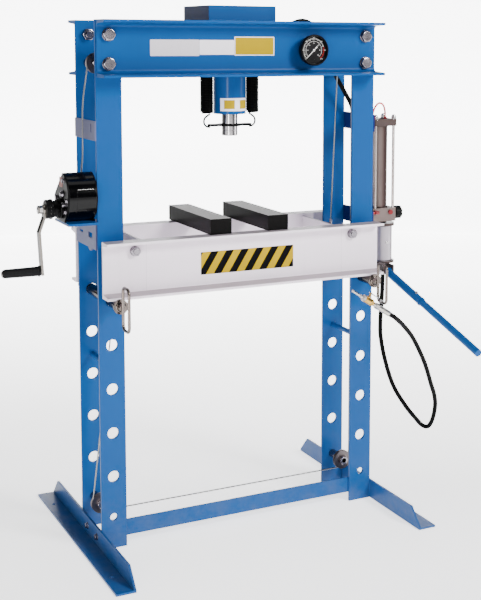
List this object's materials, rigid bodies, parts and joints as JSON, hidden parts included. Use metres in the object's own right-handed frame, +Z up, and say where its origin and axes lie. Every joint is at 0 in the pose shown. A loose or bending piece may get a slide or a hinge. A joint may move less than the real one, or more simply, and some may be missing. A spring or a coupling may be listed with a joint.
{
  "type": "hydraulic press",
  "caption": "Floor-standing H-frame workshop press with a winch-lifted bed on pins, a spring-returned ram, a hand and air pump and a pressure gauge.",
  "frame": {"origin": "on the floor, at the centre of the four anchor holes in the feet", "axes": "+X to the right along the bed, +Y to the rear, +Z up"},
  "size_m": [1.6604, 1.1507, 1.853],
  "materials": {
    "blue_paint": "satin blue enamel",
    "pale_paint": "satin light grey enamel",
    "hazard_stripes": "gloss yellow with black stripes",
    "black_steel": "satin black",
    "zinc": "zinc plated",
    "steel": "turned and worn",
    "ram_steel": "hard chromed",
    "cast_alloy": "machined",
    "tank_alloy": "satin anodised",
    "brass": "bright",
    "red_fitting": "gloss red and black",
    "red_tube": "gloss",
    "black_rubber": "matt",
    "black_plastic": "moulded",
    "clear_glass": "clear"
  },
  "bodies": {
    "frame": {"post_front_left": "blue_paint", "post_front_right": "blue_paint", "post_rear_left": "blue_paint", "post_rear_right": "blue_paint", "cross_rods": "blue_paint", "foot_left": "blue_paint", "foot_right": "blue_paint", "bottom_rail": "blue_paint", "beam_front": "blue_paint", "beam_rear": "blue_paint", "frame_bolts": "zinc", "small_bolts": "zinc", "top_block": "blue_paint", "cylinder_tube": "blue_paint", "return_springs": "black_steel", "gauge_case": "black_steel", "gauge_lens": "clear_glass", "left_plates": "zinc", "pump_straps": "blue_paint", "winch_shelf": "blue_paint", "winch_cover": "black_steel", "winch_plates": "black_steel", "ropes_fixed": "steel", "rope_lifts": "steel", "rope_tie": "steel", "pump_cap": "cast_alloy", "pump_barrel": "cast_alloy", "tie_rods": "steel", "valve_block": "cast_alloy", "port_fittings": "red_fitting", "pump_tank": "tank_alloy", "pump_gland": "cast_alloy", "hydraulic_hose": "black_rubber", "air_tube": "red_tube", "air_hose": "black_rubber", "air_fitting": "tank_alloy"},
    "ram": {"ram": "ram_steel", "spring_bracket": "black_steel"},
    "bed": {"bed_front": "pale_paint", "bed_rear": "pale_paint", "bed_plates": "pale_paint", "bed_rods": "zinc", "hazard_panel": "hazard_stripes", "press_bars": "black_steel", "rope_ends": "zinc"},
    "left_pin": {"pin_left": "steel"},
    "right_pin": {"pin_right": "steel", "air_valve": "brass"},
    "valve_lever": {"valve_handle": "steel"},
    "needle": {"gauge_needle": "red_fitting"},
    "drum": {"winch_drum": "steel"},
    "crank": {"winch_crank": "zinc"},
    "grip": {"crank_grip": "black_plastic"},
    "sheave_top_left": {"pulley_top_left": "zinc"},
    "sheave_top_right": {"pulley_top_right": "zinc"},
    "sheave_low_left": {"pulley_low_left": "zinc"},
    "sheave_low_right": {"pulley_low_right": "zinc"},
    "lever": {"pump_lever": "blue_paint"},
    "plunger": {"pump_plunger": "steel"},
    "knob": {"release_knob": "black_plastic"}
  },
  "joints": [
    {"name": "bed_lift", "type": "slide", "parent": "frame", "child": "bed", "axis": [0, 0, 1], "range_m": [0, 0.11], "deforming": ["rope_lifts", "rope_tie"]},
    {"name": "ram_stroke", "type": "slide", "parent": "frame", "child": "ram", "axis": [0, 0, -1], "range_m": [0, 0.15], "stiffness_N_per_m": 1500, "springref_m": -0.08, "deforming": ["return_springs"]},
    {"name": "left_pin_slide", "type": "slide", "parent": "frame", "child": "left_pin", "axis": [0, -1, 0], "range_m": [0, 0.43]},
    {"name": "right_pin_slide", "type": "slide", "parent": "frame", "child": "right_pin", "axis": [0, -1, 0], "range_m": [0, 0.43]},
    {"name": "valve_turn", "type": "hinge", "parent": "right_pin", "child": "valve_lever", "pos_m": [0.42074, -0.268, 0.80622], "axis": [0.5446, 0, 0.8387], "range_deg": [0, 90]},
    {"name": "needle_turn", "type": "hinge", "parent": "frame", "child": "needle", "pos_m": [0.253, -0.174, 1.701], "axis": [0, 1, 0], "range_deg": [0, 270]},
    {"name": "drum_turn", "type": "hinge", "parent": "frame", "child": "drum", "pos_m": [-0.6, -0.08, 1.228], "axis": [-1, 0, 0], "range_deg": [0, 230]},
    {"name": "crank_turn", "type": "hinge", "parent": "frame", "child": "crank", "pos_m": [-0.6323, -0.06, 1.178], "axis": [1, 0, 0], "range_deg": [0, 930]},
    {"name": "grip_spin", "type": "hinge", "parent": "crank", "child": "grip", "pos_m": [-0.7643, -0.06, 0.974], "axis": [1, 0, 0], "continuous": true},
    {"name": "top_left_turn", "type": "hinge", "parent": "frame", "child": "sheave_top_left", "pos_m": [-0.484, 0.012, 1.655], "axis": [0, -1, 0], "range_deg": [0, 211]},
    {"name": "top_right_turn", "type": "hinge", "parent": "frame", "child": "sheave_top_right", "pos_m": [0.484, 0.028, 1.655], "axis": [0, 1, 0], "range_deg": [0, 211]},
    {"name": "low_left_turn", "type": "hinge", "parent": "frame", "child": "sheave_low_left", "pos_m": [-0.484, 0.028, 0.1105], "axis": [0, 1, 0], "range_deg": [0, 211]},
    {"name": "low_right_turn", "type": "hinge", "parent": "frame", "child": "sheave_low_right", "pos_m": [0.484, 0.028, 0.1105], "axis": [0, 1, 0], "range_deg": [0, 211]},
    {"name": "lever_pump", "type": "hinge", "parent": "frame", "child": "lever", "pos_m": [0.621, -0.07, 0.861], "axis": [-1, 0, 0], "range_deg": [0, 55]},
    {"name": "plunger_slide", "type": "slide", "parent": "frame", "child": "plunger", "axis": [0, 0, -1], "range_m": [0, 0.0454]},
    {"name": "knob_turn", "type": "hinge", "parent": "frame", "child": "knob", "pos_m": [0.674, 0, 1.075], "axis": [1, 0, 0], "range_deg": [0, 90]}
  ],
  "couplings": [
    {"joint": "drum_turn", "follows": "bed_lift", "rad_per_m": 36.364},
    {"joint": "crank_turn", "follows": "bed_lift", "rad_per_m": 147.35},
    {"joint": "plunger_slide", "follows": "lever_pump", "m_per_rad": 0.0471},
    {"joint": "top_left_turn", "follows": "bed_lift", "rad_per_m": 33.333},
    {"joint": "top_right_turn", "follows": "bed_lift", "rad_per_m": 33.333},
    {"joint": "low_left_turn", "follows": "bed_lift", "rad_per_m": 33.333},
    {"joint": "low_right_turn", "follows": "bed_lift", "rad_per_m": 33.333}
  ]
}
